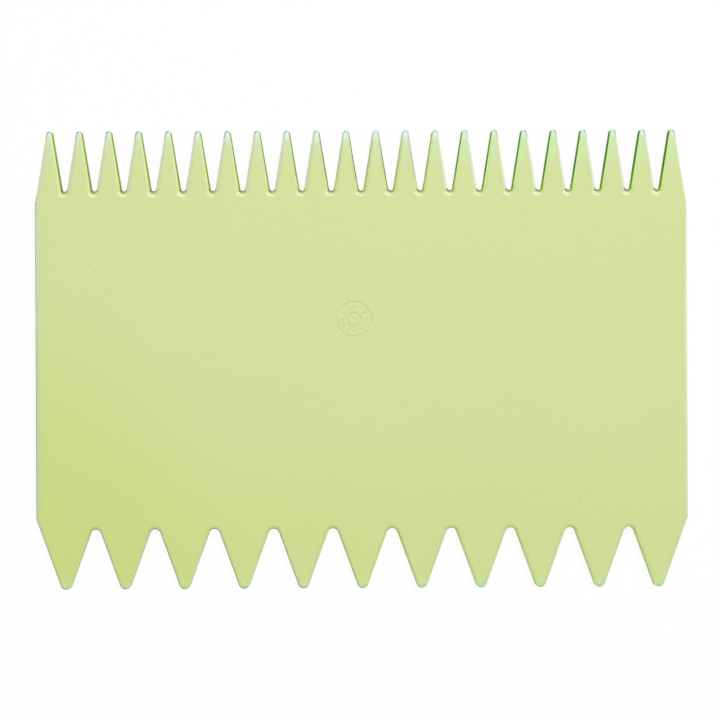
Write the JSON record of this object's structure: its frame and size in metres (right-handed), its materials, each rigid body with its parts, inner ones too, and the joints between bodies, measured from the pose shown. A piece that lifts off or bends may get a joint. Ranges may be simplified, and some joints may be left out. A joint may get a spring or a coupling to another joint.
{
  "type": "dough scraper",
  "caption": "Flat rectangular moulded scraper with a comb of fine teeth along one long edge and coarse teeth along the other.",
  "frame": {"origin": "middle of the outer box in plan, on the flat back face that the plate lies on", "axes": "+X along both combs, +Y from the coarse comb to the fine one, +Z out of the front face"},
  "size_m": [0.11, 0.0772, 0.002],
  "materials": {
    "plate_plastic": "satin moulded polypropylene, pale lime green, slightly translucent"
  },
  "bodies": {
    "root": {"comb_plate": "plate_plastic"}
  },
  "joints": []
}
